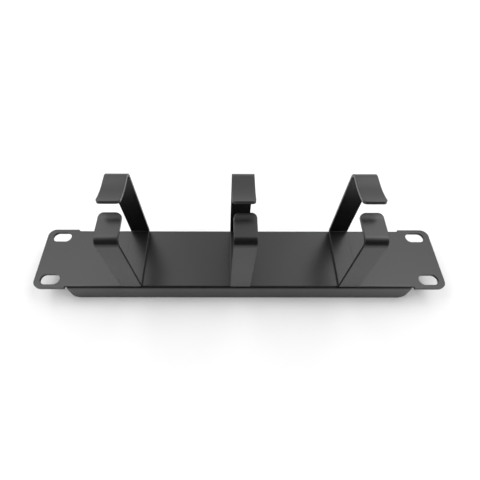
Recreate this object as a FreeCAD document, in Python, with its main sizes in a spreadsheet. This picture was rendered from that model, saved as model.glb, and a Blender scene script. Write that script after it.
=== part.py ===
"""Horizontal cable manager for a 10-inch rack, one rack unit high.

One folded sheet panel carries three C-shaped rings, each folded from a flat strip and spot-welded
by its foot to the panel's face. All sizes are in millimetres.

Frame: the panel lies face up on its two flange edges. X runs along the panel, Y across it and Z up,
out of the face. The origin is in the middle of the panel, on the plane that the flange edges stand on.
"""
import FreeCAD, Part
import math
import os
import Sketcher

Vector = FreeCAD.Vector
Constraint = Sketcher.Constraint

# Driving dimensions: name, value, what it measures
SIZES = [
    ("panel_width", 254.0, "over both ears, the 10-inch rack width"),
    ("ear_height", 44.0, "one rack unit less the usual clearance"),
    ("ear_corner", 5.0, "corner radius of the ears"),
    ("sheet", 1.5, "panel sheet with its coat"),
    ("ear_width", 19.7, "from the end of the panel to the relief"),
    ("flange_inset", 0.3, "of a flange's outer face from the long edge of the ears"),
    ("body_depth", 13.7, "from the face to the flange edges"),
    ("flange_bend", 0.35, "inner radius of the flange bends"),
    ("flange_corner", 4.5, "corner radius at the flange ends"),
    ("relief_width", 1.5, "gap between an ear and a flange end"),
    ("relief_depth", 1.2, "of that gap, from the long edge of the ears"),
    ("slot_end_margin", 9.7, "from the end of the panel to a slot's centre"),
    ("slot_side_margin", 6.125, "from an ear's long edge to a slot's centre: 31.75 between them"),
    ("slot_length", 12.2, "rack slot, end to end"),
    ("slot_width", 7.1, "rack slot, side to side"),
    ("ring_pitch", 66.2, "between neighbouring rings"),
    ("ring_offset", 0.3, "of the ring row from the panel's middle"),
    ("ring_inset", 0.2, "of a ring's arm from a flange's outer face"),
    ("strip_width", 12.1, "ring strip with its coat"),
    ("strip", 1.5, "thickness of the ring strip"),
    ("foot_bend", 0.5, "inner radius between foot and arm"),
    ("knuckle_bend", 3.2, "inner radius between arm and finger"),
    ("near_height", 48.65, "of the short arm above the panel's face"),
    ("arm_step", 6.15, "from the top of the short arm up to the top of the tall one"),
    ("near_reach", 18.1, "of the short arm's finger, from the arm's outer face"),
    ("far_reach", 24.4, "of the tall arm's finger, from the arm's outer face"),
    ("near_flare_bend", 10.3, "upper radius of the short arm's flared fingertip"),
    ("near_flare_rise", 1.0, "of that fingertip above its finger"),
    ("far_flare_bend", 42.0, "upper radius of the tall arm's flared fingertip"),
    ("far_flare_rise", 2.75, "of that fingertip above its finger"),
    ("near_tip_corner", 3.0, "corner radius of the short arm's fingertip"),
    ("far_tip_corner", 2.0, "corner radius of the tall arm's fingertip"),
    ("mouth_height", 2.5, "from the short arm's finger up to where only the tall arm's finger is"),
    ("trim_allowance", 5.0, "of the rings' blanks past the strip on each side"),
    ("left_near_lean", -2.2, "sideways lean of the left ring's short arm, degrees"),
    ("left_far_lean", -1.1, "sideways lean of the left ring's tall arm, degrees"),
    ("centre_near_lean", 1.9, "sideways lean of the centre ring's short arm, degrees"),
    ("centre_far_lean", 0.7, "sideways lean of the centre ring's tall arm, degrees"),
    ("right_near_lean", 0.4, "sideways lean of the right ring's short arm, degrees"),
    ("right_far_lean", -0.1, "sideways lean of the right ring's tall arm, degrees"),
]

LEFT, RIGHT = 1, -1          # sides of a strip, seen along its path
START, END, CENTRE = 1, 2, 3  # points of a sketch element
ORIGIN = (-1, 1)             # a sketch's origin, as element and point
X_AXIS = -1                  # a sketch's own horizontal axis
SNAP = 0.01                  # how near two lengths count as the same

doc = FreeCAD.newDocument("cable_manager")
sheet = doc.addObject("Spreadsheet::Sheet", "Sizes")
for row, (name, value, _) in enumerate(SIZES, start=1):
    sheet.set(f"A{row}", name)
    sheet.set(f"B{row}", str(value))
    sheet.setAlias(f"B{row}", name)
doc.recompute()


def size(name):
    """Value of a driving dimension."""
    return float(sheet.get(name))


def cell(name):
    """The same dimension, as an expression that a feature can be bound to."""
    return f"<<Sizes>>.{name}"


# from the panel's middle line to a flange's outer face
BODY_HALF = size("ear_height") / 2 - size("flange_inset")
BODY_HALF_CELL = f"({cell('ear_height')} / 2 - {cell('flange_inset')})"
# of the two arms' tops above the panel's face: the tall arm stands a step above the short one
NEAR_HEIGHT = (size("near_height"), cell("near_height"))
FAR_HEIGHT = (size("near_height") + size("arm_step"), f"({cell('near_height')} + {cell('arm_step')})")
# from under a ring's foot to the top of its foot bends, where the arms begin to lean
BEND_TOP = (size("strip") + size("foot_bend"), f"({cell('strip')} + {cell('foot_bend')})")


def new_body(name):
    body = doc.addObject("PartDesign::Body", name)
    body.Label = name
    return body


def new_sketch(body, name, plane):
    """A sketch on one of the body's own origin planes."""
    sketch = body.newObject("Sketcher::SketchObject", name)
    support = next(f for f in body.Origin.OriginFeatures if f.Role == plane)
    sketch.AttachmentSupport = [(support, "")]
    sketch.MapMode = "FlatFace"
    return sketch


def dimension(sketch, kind, where, value, expression):
    """A dimension in the sketch, bound to an expression of the sheet's sizes."""
    index = sketch.addConstraint(Constraint(kind, *where, value))
    sketch.setExpression(f"Constraints[{index}]", expression)


def distance_from_origin(sketch, kind, point, value, expression):
    """Hold a sketch point along one axis; the expression gives the distance without its sign."""
    ends = (*ORIGIN, *point) if value > 0 else (*point, *ORIGIN)
    dimension(sketch, kind, ends, abs(value), expression)


def place(sketch, point, x, y, x_expression, y_expression):
    """Hold a sketch point at a place."""
    distance_from_origin(sketch, "DistanceX", point, x, x_expression)
    distance_from_origin(sketch, "DistanceY", point, y, y_expression)


def folded_section(sketch, start, heading, steps, thickness):
    """Draw the closed section of a sheet folded along a path.

    The path is the sheet's middle line. It starts at a point with a heading in degrees. A step is
    ("flat", length, "Horizontal" or "Vertical") or ("bend", degrees to the left, name of the radius
    of the bend's hollow side). Returns for each side of the path its elements in order.
    """
    half = size(thickness) / 2
    sides = {LEFT: [], RIGHT: []}
    point = Vector(*start, 0)
    angle = math.radians(heading)
    for kind, amount, detail in steps:
        along = Vector(math.cos(angle), math.sin(angle), 0)
        left = Vector(-along.y, along.x, 0)
        if kind == "flat":
            for side, elements in sides.items():
                begin = point + left * side * half
                line = sketch.addGeometry(Part.LineSegment(begin, begin + along * amount))
                elements.append((line, START, END))
            sketch.addConstraint(Constraint(detail, sides[LEFT][-1][0]))
            point = point + along * amount
            continue
        turn = math.radians(amount)
        hollow = LEFT if amount > 0 else RIGHT
        middle_radius = size(detail) + half
        centre = point + left * hollow * middle_radius
        for side, elements in sides.items():
            radius = middle_radius - side * hollow * half
            first = angle - hollow * math.pi / 2
            low, high = sorted((first, first + turn))
            circle = Part.Circle(centre, Vector(0, 0, 1), radius)
            arc = sketch.addGeometry(Part.ArcOfCircle(circle, low, high))
            elements.append((arc, START, END) if hollow == LEFT else (arc, END, START))
            expression = cell(detail) if side == hollow else f"{cell(detail)} + {cell(thickness)}"
            dimension(sketch, "Radius", (arc,), radius, expression)
        arcs = [elements[-1][0] for elements in sides.values()]
        sketch.addConstraint(Constraint("Coincident", arcs[0], CENTRE, arcs[1], CENTRE))
        angle += turn
        point = centre - Vector(-math.sin(angle), math.cos(angle), 0) * hollow * middle_radius
    for elements in sides.values():
        for before, after in zip(elements, elements[1:]):
            sketch.addConstraint(Constraint("Tangent", before[0], before[2], after[0], after[1]))
    close_end(sketch, sides, 0, 1, steps[0][0])
    close_end(sketch, sides, -1, 2, steps[-1][0])
    return sides


def close_end(sketch, sides, place_in_path, point_in_element, kind):
    """Close an open end of a folded section, square to the sheet."""
    ends = [(sides[side][place_in_path][0], sides[side][place_in_path][point_in_element])
            for side in (LEFT, RIGHT)]
    corners = [sketch.getPoint(*end) for end in ends]
    line = sketch.addGeometry(Part.LineSegment(*corners))
    sketch.addConstraint(Constraint("Coincident", line, START, *ends[0]))
    sketch.addConstraint(Constraint("Coincident", line, END, *ends[1]))
    if kind == "flat":
        for element, _ in ends:
            sketch.addConstraint(Constraint("Perpendicular", line, element))
    else:
        sketch.addConstraint(Constraint("PointOnObject", ends[0][0], CENTRE, line))


def pad(body, name, sketch, length, middle=True):
    """Pad a sketch by an expression of the sheet's sizes."""
    feature = body.newObject("PartDesign::Pad", name)
    feature.Profile = sketch
    feature.Midplane = middle
    feature.setExpression("Length", length)
    doc.recompute()
    return feature


def cut_through(body, name, sketch, ways="both"):
    """Pocket a sketch through the body, both ways or only to the "near" or "far" side of its plane."""
    before = body.Shape.Volume
    feature = body.newObject("PartDesign::Pocket", name)
    feature.Profile = sketch
    feature.Type = "ThroughAll"
    feature.Midplane = ways == "both"
    feature.Reversed = ways == "near"
    doc.recompute()
    if not body.Shape.Volume < before:
        raise RuntimeError(f"{name} cuts nothing")
    return feature


def fillet(body, name, radius, chosen):
    """Round the edges that the test picks."""
    base = body.Tip
    edges = [f"Edge{i}" for i, edge in enumerate(base.Shape.Edges, start=1) if chosen(edge)]
    feature = body.newObject("PartDesign::Fillet", name)
    feature.Base = (base, edges)
    feature.setExpression("Radius", radius)
    doc.recompute()
    return feature


def arc_about(sketch, centre, radius, first, sweep):
    """Add an arc that runs on from a first angle, both in degrees."""
    circle = Part.Circle(centre, Vector(0, 0, 1), radius)
    return sketch.addGeometry(Part.ArcOfCircle(circle, math.radians(first), math.radians(first + sweep)))


def line_between(sketch, begin, end):
    return sketch.addGeometry(Part.LineSegment(begin, end))


def join_round(sketch, elements, kind):
    """Join elements end to end into a closed loop; kind is Tangent or Coincident."""
    for element, following in zip(elements, elements[1:] + elements[:1]):
        sketch.addConstraint(Constraint(kind, element, END, following, START))


def rounded_rectangle(sketch, length, height, corner):
    """Draw a rectangle with rounded corners about the origin, sized by named dimensions."""
    half_x, half_y, radius = size(length) / 2, size(height) / 2, size(corner)
    loop = []
    for first in (0, 90, 180, 270):
        outward = Vector(round(math.cos(math.radians(first))), round(math.sin(math.radians(first))), 0)
        along = Vector(-outward.y, outward.x, 0)
        upright = first in (0, 180)
        middle = outward * (half_x if upright else half_y)
        to_corner = along * ((half_y if upright else half_x) - radius)
        line = line_between(sketch, middle - to_corner, middle + to_corner)
        sketch.addConstraint(Constraint("Vertical" if upright else "Horizontal", line))
        arc = arc_about(sketch, middle + to_corner - outward * radius, radius, first, 90)
        dimension(sketch, "Radius", (arc,), radius, cell(corner))
        loop += [line, arc]
    join_round(sketch, loop, "Tangent")
    right, top, left, bottom = loop[::2]
    dimension(sketch, "DistanceX", (*ORIGIN, right, START), half_x, f"{cell(length)} / 2")
    dimension(sketch, "DistanceX", (left, START, *ORIGIN), half_x, f"{cell(length)} / 2")
    dimension(sketch, "DistanceY", (*ORIGIN, top, START), half_y, f"{cell(height)} / 2")
    dimension(sketch, "DistanceY", (bottom, START, *ORIGIN), half_y, f"{cell(height)} / 2")


def polygon(sketch, corners):
    """Draw a closed polygon; line i starts at corner i."""
    points = [Vector(*corner, 0) for corner in corners]
    lines = [line_between(sketch, a, b) for a, b in zip(points, points[1:] + points[:1])]
    join_round(sketch, lines, "Coincident")
    return lines


def obround(sketch, x_sign, y_sign):
    """Draw the rack slot of one corner, lying along X."""
    radius = size("slot_width") / 2
    straight = size("slot_length") / 2 - radius
    middle_x = size("panel_width") / 2 - size("slot_end_margin")
    middle_y = size("ear_height") / 2 - size("slot_side_margin")
    middle_x_cell = f"{cell('panel_width')} / 2 - {cell('slot_end_margin')}"
    middle_y_cell = f"{cell('ear_height')} / 2 - {cell('slot_side_margin')}"
    middle = Vector(x_sign * middle_x, y_sign * middle_y, 0)
    right, left = middle + Vector(straight, 0, 0), middle - Vector(straight, 0, 0)
    down = Vector(0, -radius, 0)
    lower = line_between(sketch, left + down, right + down)
    right_end = arc_about(sketch, right, radius, -90, 180)
    upper = line_between(sketch, right - down, left - down)
    left_end = arc_about(sketch, left, radius, 90, 180)
    join_round(sketch, [lower, right_end, upper, left_end], "Tangent")
    sketch.addConstraint(Constraint("Horizontal", lower))
    sketch.addConstraint(Constraint("Horizontal", upper))
    dimension(sketch, "Radius", (right_end,), radius, f"{cell('slot_width')} / 2")
    half_straight = f"({cell('slot_length')} - {cell('slot_width')}) / 2"
    for end, centre, sign in ((right_end, right, x_sign), (left_end, left, -x_sign)):
        expression = f"{middle_x_cell} {'+' if sign > 0 else '-'} {half_straight}"
        distance_from_origin(sketch, "DistanceX", (end, CENTRE), centre.x, expression)
    distance_from_origin(sketch, "DistanceY", (right_end, CENTRE), right.y, middle_y_cell)


def make_panel():
    """The front panel: a plate with two ears, folded back along both edges between them."""
    body = new_body("rack_panel")
    below_face = f"{cell('body_depth')} - {cell('sheet')}"
    half_gap = size("panel_width") / 2 - size("ear_width")
    half_gap_cell = f"({cell('panel_width')} / 2 - {cell('ear_width')})"

    plate = new_sketch(body, "plate_outline", "XY_Plane")
    plate.setExpression("AttachmentOffset.Base.z", below_face)
    rounded_rectangle(plate, "panel_width", "ear_height", "ear_corner")
    pad(body, "plate", plate, cell("sheet"), middle=False)

    # between the ears the plate ends where the bends begin, past a short relief at each end
    relief = new_sketch(body, "relief_outline", "XY_Plane")
    half_channel = half_gap - size("relief_width")
    half_channel_cell = f"({half_gap_cell} - {cell('relief_width')})"
    floor = size("ear_height") / 2 - size("relief_depth")
    floor_cell = f"{cell('ear_height')} / 2 - {cell('relief_depth')}"
    bend_line = BODY_HALF - size("sheet") - size("flange_bend")
    bend_line_cell = f"{BODY_HALF_CELL} - {cell('sheet')} - {cell('flange_bend')}"
    outer = size("ear_height") / 2 + size("sheet")
    outer_cell = f"{cell('ear_height')} / 2 + {cell('sheet')}"
    for side in (LEFT, RIGHT):
        lines = polygon(relief, [
            (-half_gap, side * floor), (-half_channel, side * floor),
            (-half_channel, side * bend_line), (half_channel, side * bend_line),
            (half_channel, side * floor), (half_gap, side * floor),
            (half_gap, side * outer), (-half_gap, side * outer)])
        for line, direction in zip(lines, ("Horizontal", "Vertical") * 4):
            relief.addConstraint(Constraint(direction, line))
        place(relief, (lines[0], START), -half_gap, side * floor, half_gap_cell, floor_cell)
        place(relief, (lines[2], START), -half_channel, side * bend_line, half_channel_cell, bend_line_cell)
        place(relief, (lines[4], START), half_channel, side * floor, half_channel_cell, floor_cell)
        place(relief, (lines[6], START), half_gap, side * outer, half_gap_cell, outer_cell)
    cut_through(body, "reliefs", relief)

    channel = new_sketch(body, "channel_section", "YZ_Plane")
    bend = size("flange_bend") + size("sheet")
    flange = size("body_depth") - bend
    web = 2 * (BODY_HALF - bend)
    middle_line = BODY_HALF - size("sheet") / 2
    sides = folded_section(channel, (-middle_line, 0), 90, [
        ("flat", flange, "Vertical"), ("bend", -90, "flange_bend"), ("flat", web, "Horizontal"),
        ("bend", -90, "flange_bend"), ("flat", flange, "Vertical")], "sheet")
    near, _, face, _, far = [element[0] for element in sides[LEFT]]
    channel.addConstraint(Constraint("PointOnObject", near, START, X_AXIS))
    channel.addConstraint(Constraint("PointOnObject", far, END, X_AXIS))
    distance_from_origin(channel, "DistanceX", (near, START), -BODY_HALF, BODY_HALF_CELL)
    distance_from_origin(channel, "DistanceX", (far, END), BODY_HALF, BODY_HALF_CELL)
    distance_from_origin(channel, "DistanceY", (face, START), size("body_depth"), cell("body_depth"))
    pad(body, "channel", channel, f"2 * {half_channel_cell}")

    slots = new_sketch(body, "slot_outlines", "XY_Plane")
    for x_sign in (1, -1):
        for y_sign in (1, -1):
            obround(slots, x_sign, y_sign)
    cut_through(body, "slots", slots)

    def at_flange_corner(edge):
        along_y = abs(edge.BoundBox.YLength - edge.Length) < SNAP
        return along_y and edge.BoundBox.ZMax < SNAP and abs(edge.Length - size("sheet")) < SNAP

    fillet(body, "flange_corners", cell("flange_corner"), at_flange_corner)
    return body


def flare(finger):
    """Angle in degrees and run of a finger's flared tip."""
    angle = math.acos(1 - size(f"{finger}_flare_rise") / size(f"{finger}_flare_bend"))
    return math.degrees(angle), size(f"{finger}_flare_bend") * math.sin(angle)


def trim_sides(body, name, low, high, lean=None, ways="both"):
    """Trim the sides of a ring's blank between two heights, each a value and its expression.

    The trimmed sides lean by a named angle about the top of the foot bends, or stand upright.
    """
    trim = new_sketch(body, f"{name}_trim_outline", "XZ_Plane")
    half_width = size("strip_width") / 2
    half_width_cell = f"{cell('strip_width')} / 2"
    blank = half_width + size("trim_allowance")
    blank_cell = f"{half_width_cell} + {cell('trim_allowance')}"
    for side, sign in ((LEFT, "+"), (RIGHT, "-")):
        edges = [(side * half_width, half_width_cell)] * 2
        if lean:
            slope = math.tan(math.radians(size(lean)))
            edges = [(side * half_width + (height - BEND_TOP[0]) * slope,
                      f"{half_width_cell} {sign} ({cells} - {BEND_TOP[1]}) * tan({cell(lean)} * 1 deg)")
                     for height, cells in (low, high)]
        lines = polygon(trim, [(edges[0][0], low[0]), (edges[1][0], high[0]),
                               (side * blank, high[0]), (side * blank, low[0])])
        for line, direction in ((1, "Horizontal"), (2, "Vertical"), (3, "Horizontal")):
            trim.addConstraint(Constraint(direction, lines[line]))
        for line, (edge, edge_cell) in zip(lines, edges):
            distance_from_origin(trim, "DistanceX", (line, START), edge, edge_cell)
        place(trim, (lines[2], START), side * blank, high[0], blank_cell, high[1])
        if low[0] > 0:
            distance_from_origin(trim, "DistanceY", (lines[3], START), *low)
        else:
            trim.addConstraint(Constraint("PointOnObject", lines[3], START, X_AXIS))
    cut_through(body, f"{name}_trim", trim, ways)


def make_ring(which, place_in_row):
    """A ring folded from one strip: foot, two arms and two fingers that flare out at their tips."""
    body = new_body(f"cable_ring_{which}")
    half_depth = BODY_HALF - size("ring_inset")
    half_depth_cell = f"({BODY_HALF_CELL} - {cell('ring_inset')})"
    strip = size("strip")
    foot_bend = size("foot_bend") + strip
    knuckle = size("knuckle_bend") + strip
    near_flare, near_run = flare("near")
    far_flare, far_run = flare("far")
    slope = math.radians(near_flare)
    tip = Vector(size("near_reach") - half_depth, NEAR_HEIGHT[0] + size("near_flare_rise"), 0)
    begin = tip + Vector(math.sin(slope), -math.cos(slope), 0) * strip / 2

    section = new_sketch(body, "strip_section", "YZ_Plane")
    sides = folded_section(section, (begin.x, begin.y), 180 + near_flare, [
        ("bend", -near_flare, "near_flare_bend"),
        ("flat", size("near_reach") - knuckle - near_run, "Horizontal"),
        ("bend", 90, "knuckle_bend"),
        ("flat", NEAR_HEIGHT[0] - knuckle - foot_bend, "Vertical"),
        ("bend", 90, "foot_bend"),
        ("flat", 2 * (half_depth - foot_bend), "Horizontal"),
        ("bend", 90, "foot_bend"),
        ("flat", FAR_HEIGHT[0] - knuckle - foot_bend, "Vertical"),
        ("bend", 90, "knuckle_bend"),
        ("flat", size("far_reach") - knuckle - far_run, "Horizontal"),
        ("bend", -far_flare, "far_flare_bend")], "strip")
    outside = [element[0] for element in sides[RIGHT]]
    near_tip, near_finger, _, near_arm, _, foot, _, far_arm, _, far_finger, far_tip = outside
    section.addConstraint(Constraint("PointOnObject", foot, START, X_AXIS))
    distance_from_origin(section, "DistanceX", (near_arm, START), -half_depth, half_depth_cell)
    distance_from_origin(section, "DistanceX", (far_arm, START), half_depth, half_depth_cell)
    for name, height, finger, tip_end, reach in (
            ("near", NEAR_HEIGHT, near_finger, (near_tip, END), (near_arm, START, near_tip, END)),
            ("far", FAR_HEIGHT, far_finger, (far_tip, START), (far_tip, START, far_arm, START))):
        rise, length = f"{name}_flare_rise", f"{name}_reach"
        distance_from_origin(section, "DistanceY", (finger, START), *height)
        dimension(section, "DistanceX", reach, size(length), cell(length))
        dimension(section, "DistanceY", (finger, START, *tip_end), size(rise), cell(rise))
    pad(body, "folded_strip", section, f"{cell('strip_width')} + 2 * {cell('trim_allowance')}")

    # the blank is wider than the strip, and each arm with its finger is trimmed to its own lean;
    # the fingers overlap a little in plan, so from the mouth up all is the tall arm's finger
    near_lean, far_lean = f"{which}_near_lean", f"{which}_far_lean"
    floor = (0, "0")
    mouth = (NEAR_HEIGHT[0] + size("mouth_height"), f"({NEAR_HEIGHT[1]} + {cell('mouth_height')})")
    top = (FAR_HEIGHT[0] + size("trim_allowance"), f"({FAR_HEIGHT[1]} + {cell('trim_allowance')})")
    trim_sides(body, "foot", floor, BEND_TOP)
    trim_sides(body, "near_arm", BEND_TOP, mouth, near_lean, "near")
    trim_sides(body, "far_arm", BEND_TOP, mouth, far_lean, "far")
    trim_sides(body, "far_finger", mouth, top, far_lean)

    def at_tip_corner(edge):
        through_sheet = isinstance(edge.Curve, Part.Line) and abs(edge.Length - strip) < SNAP
        return through_sheet and edge.BoundBox.ZLength > strip / 2

    fillet(body, "near_tip_corners", cell("near_tip_corner"),
           lambda edge: at_tip_corner(edge) and edge.BoundBox.ZMax < mouth[0])
    fillet(body, "far_tip_corners", cell("far_tip_corner"),
           lambda edge: at_tip_corner(edge) and edge.BoundBox.ZMin > mouth[0])
    body.setExpression("Placement.Base.x", f"{cell('ring_offset')} + {place_in_row} * {cell('ring_pitch')}")
    body.setExpression("Placement.Base.z", cell("body_depth"))
    doc.recompute()
    return body


def check_and_write(bodies):
    """Stop on any failed object or bad solid, then write each sub-part to its own file."""
    for item in doc.Objects:
        if {"Invalid", "Error"} & set(item.State):
            raise RuntimeError(f"{item.Label} failed: {item.State}")
    for body in bodies:
        shape = body.Shape
        if shape.isNull() or not shape.isValid() or len(shape.Solids) != 1:
            raise RuntimeError(f"{body.Label} is not one sound solid")
    os.makedirs("parts", exist_ok=True)
    for body in bodies:
        body.Shape.exportStep(f"parts/{body.Label}.step")
        box = body.Shape.BoundBox
        print(f"{body.Label}: X {box.XMin:.2f} to {box.XMax:.2f}, Y {box.YMin:.2f} to {box.YMax:.2f},"
              f" Z {box.ZMin:.2f} to {box.ZMax:.2f}, volume {body.Shape.Volume:.0f}")


check_and_write([
    make_panel(),
    make_ring("left", -1),
    make_ring("centre", 0),
    make_ring("right", 1),
])
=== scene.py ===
"""Finish, light and camera for a horizontal cable manager: a folded steel rack panel with three
folded strip rings, all in satin black powder coat, lying face up on a white table."""
import math
import bpy
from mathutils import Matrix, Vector

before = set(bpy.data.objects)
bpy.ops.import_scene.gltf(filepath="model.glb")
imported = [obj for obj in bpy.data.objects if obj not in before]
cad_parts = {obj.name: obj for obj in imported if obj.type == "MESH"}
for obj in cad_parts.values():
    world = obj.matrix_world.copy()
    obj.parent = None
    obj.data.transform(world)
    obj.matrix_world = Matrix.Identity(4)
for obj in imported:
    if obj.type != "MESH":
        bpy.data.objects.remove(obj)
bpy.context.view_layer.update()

MM = 0.001


def linear(hex_colour):
    """Turn an sRGB hex colour, such as "1d1d1e", to linear RGBA."""
    channels = [int(hex_colour[i:i + 2], 16) / 255 for i in (0, 2, 4)]
    return [c / 12.92 if c <= 0.04045 else ((c + 0.055) / 1.055) ** 2.4 for c in channels] + [1.0]


def add_node(tree, kind, inputs=None, **settings):
    """Add a node; settings are its own properties, and inputs are values or sockets to link from."""
    node = tree.nodes.new(kind)
    for name, value in settings.items():
        setattr(node, name, value)
    for name, value in (inputs or {}).items():
        if isinstance(value, bpy.types.NodeSocket):
            tree.links.new(value, node.inputs[name])
        else:
            node.inputs[name].default_value = value
    return node


def new_material(name):
    """An empty material with its output node."""
    material = bpy.data.materials.new(name)
    material.use_nodes = True
    tree = material.node_tree
    tree.nodes.clear()
    return material, tree, add_node(tree, "ShaderNodeOutputMaterial")


def noise(tree, place, width, detail, roughness):
    """A noise pattern over the part's own coordinates; the width is from crest to crest."""
    return add_node(tree, "ShaderNodeTexNoise",
                    {"Vector": place, "Scale": 1 / width, "Detail": detail,
                     "Roughness": roughness}).outputs["Fac"]


def bump(tree, height, normal, strength, depth):
    """The normal given, tilted by a pattern of heights as deep as said."""
    return add_node(tree, "ShaderNodeBump",
                    {"Height": height, "Normal": normal, "Strength": strength,
                     "Distance": depth}).outputs["Normal"]


def satin_black_powder_coat():
    """Polyester powder coat, oven-cured on degreased steel sheet.

    The cured film is black and satin, so the eye sees broad soft reflections of the bright table and
    of the light behind, and near black where it mirrors the dark curtain. Its skin has a shallow orange
    peel and a fine grain, and the film is a touch thicker in places, which shifts the sheen slightly.
    The film flows round every cut edge, which draws the edges as thin light and dark lines.
    """
    cloud_width = 45 * MM             # of the slow changes in film thickness
    thin_film, thick_film = linear("090909"), linear("0d0d0e")
    glossiest, dullest = 0.29, 0.33   # roughness over those changes
    peel_width, peel_depth, peel_strength = 1.6 * MM, 0.03 * MM, 0.25
    grain_width, grain_depth, grain_strength = 0.35 * MM, 0.02 * MM, 0.3
    edge_radius = 0.65 * MM           # of the film where it turns a cut edge
    cured_resin_ior = 1.58
    material, tree, output = new_material("satin_black_powder_coat")
    place = add_node(tree, "ShaderNodeTexCoord").outputs["Object"]

    clouds = noise(tree, place, cloud_width, detail=3.0, roughness=0.5)
    colour = add_node(tree, "ShaderNodeMix", {"Factor": clouds}, data_type="RGBA")
    first, second, mixed = colour.inputs[6], colour.inputs[7], colour.outputs[2]  # the colour sockets
    first.default_value, second.default_value = thin_film, thick_film
    sheen = add_node(tree, "ShaderNodeMapRange",
                     {"Value": clouds, "From Min": 0.3, "From Max": 0.7,
                      "To Min": glossiest, "To Max": dullest})

    edges = add_node(tree, "ShaderNodeBevel", {"Radius": edge_radius}, samples=8).outputs["Normal"]
    peel = bump(tree, noise(tree, place, peel_width, detail=1.0, roughness=0.4),
                edges, peel_strength, peel_depth)
    grain = bump(tree, noise(tree, place, grain_width, detail=2.0, roughness=0.6),
                 peel, grain_strength, grain_depth)

    coat = add_node(tree, "ShaderNodeBsdfPrincipled",
                    {"Base Color": mixed, "Roughness": sheen.outputs["Result"],
                     "Normal": grain, "IOR": cured_resin_ior})
    tree.links.new(coat.outputs["BSDF"], output.inputs["Surface"])
    return material


def dress(nodes, material):
    """Give every CAD node the material in place of its plain one."""
    for node in nodes:
        node.data.materials.clear()
        node.data.materials.append(material)


def stage_plane(name, width, height, material):
    """A flat piece of the studio, which is no part of the object."""
    bpy.ops.object.select_all(action="DESELECT")
    bpy.ops.mesh.primitive_plane_add(size=1.0)
    plane = bpy.context.object
    plane.name = name
    plane.scale = (width, height, 1)
    plane.data.materials.append(material)
    return plane


def white_table():
    """The matt white table that the part lies on.

    It is bright under the lights, lifts the upright faces that mirror it and keeps the shadow.
    """
    side = 4.0
    material, tree, output = new_material("white_table")
    surface = add_node(tree, "ShaderNodeBsdfPrincipled",
                       {"Base Color": linear("f4f4f4"), "Roughness": 0.8})
    tree.links.new(surface.outputs["BSDF"], output.inputs["Surface"])
    stage_plane("table", side, side, material)


def dark_curtain():
    """A charcoal curtain that slants from behind the camera to over the part.

    It is matt and gives back little light, so its reflection darkens the bends that face the front.
    """
    width = 1.5
    foot = Vector((0, -0.9, 0))
    top = Vector((0, 0, 1.3))
    fall = top - foot
    material, tree, output = new_material("charcoal_curtain")
    cloth = add_node(tree, "ShaderNodeBsdfDiffuse", {"Color": linear("4a4a4a")})
    tree.links.new(cloth.outputs["BSDF"], output.inputs["Surface"])
    curtain = stage_plane("curtain", width, fall.length, material)
    curtain.location = (foot + top) / 2
    curtain.rotation_euler.x = math.atan2(fall.z, fall.y)
    curtain.visible_camera = False


def soft_box(name, azimuth, elevation, width, height, radiance):
    """A soft box one metre from the part, which it faces; azimuth runs from +Y towards +X.

    The radiance is what the box adds to the room's own light, where 1 is white.
    """
    turn, rise = math.radians(azimuth), math.radians(elevation)
    place = Vector((math.sin(turn) * math.cos(rise), math.cos(turn) * math.cos(rise), math.sin(rise)))
    lamp = bpy.data.lights.new(name, "AREA")
    lamp.shape = "RECTANGLE"
    lamp.size = width
    lamp.size_y = height
    lamp.energy = math.pi * width * height * radiance
    holder = bpy.data.objects.new(name, lamp)
    bpy.context.scene.collection.objects.link(holder)
    holder.location = place
    holder.rotation_euler = place.to_track_quat("Z", "Y").to_euler()


def soft_boxes():
    """Three boxes on each side: behind the part, beside it, and a little in front."""
    boxes = (("rear", 45, 53, 0.4, 0.46, 1.3),
             ("side", 80, 55, 0.4, 0.46, 2.1),
             ("front", 110, 45, 0.6, 0.6, 2.0))
    for side, sign in (("left", -1), ("right", 1)):
        for place, azimuth, elevation, width, height, radiance in boxes:
            soft_box(f"{side}_{place}_box", sign * azimuth, elevation, width, height, radiance)


def room_light():
    """An even white room, whose strength is 1 where it would render as plain white."""
    strength = 1.07
    world = bpy.data.worlds.new("room")
    bpy.context.scene.world = world
    world.use_nodes = True
    tree = world.node_tree
    tree.nodes.clear()
    output = add_node(tree, "ShaderNodeOutputWorld")
    background = add_node(tree, "ShaderNodeBackground", {"Color": (1, 1, 1, 1), "Strength": strength})
    tree.links.new(background.outputs["Background"], output.inputs["Surface"])


def camera():
    """Looks steeply down on the part from in front, as a person leaning over the table does."""
    place = Vector((-6.6, -115.7, 201.4)) * MM
    tilt, roll, turn = math.radians(30.374), math.radians(-0.224), math.radians(-0.03)
    lens = bpy.data.cameras.new("camera")
    lens.sensor_width = 36.0
    lens.lens = 25.72
    lens.shift_x = 0.0205
    lens.shift_y = 0.0527
    holder = bpy.data.objects.new("camera", lens)
    bpy.context.scene.collection.objects.link(holder)
    holder.location = place
    holder.rotation_euler = (tilt, roll, turn)
    bpy.context.scene.camera = holder


dress(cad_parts.values(), satin_black_powder_coat())
white_table()
dark_curtain()
soft_boxes()
room_light()
camera()
bpy.context.scene.view_settings.view_transform = "Standard"
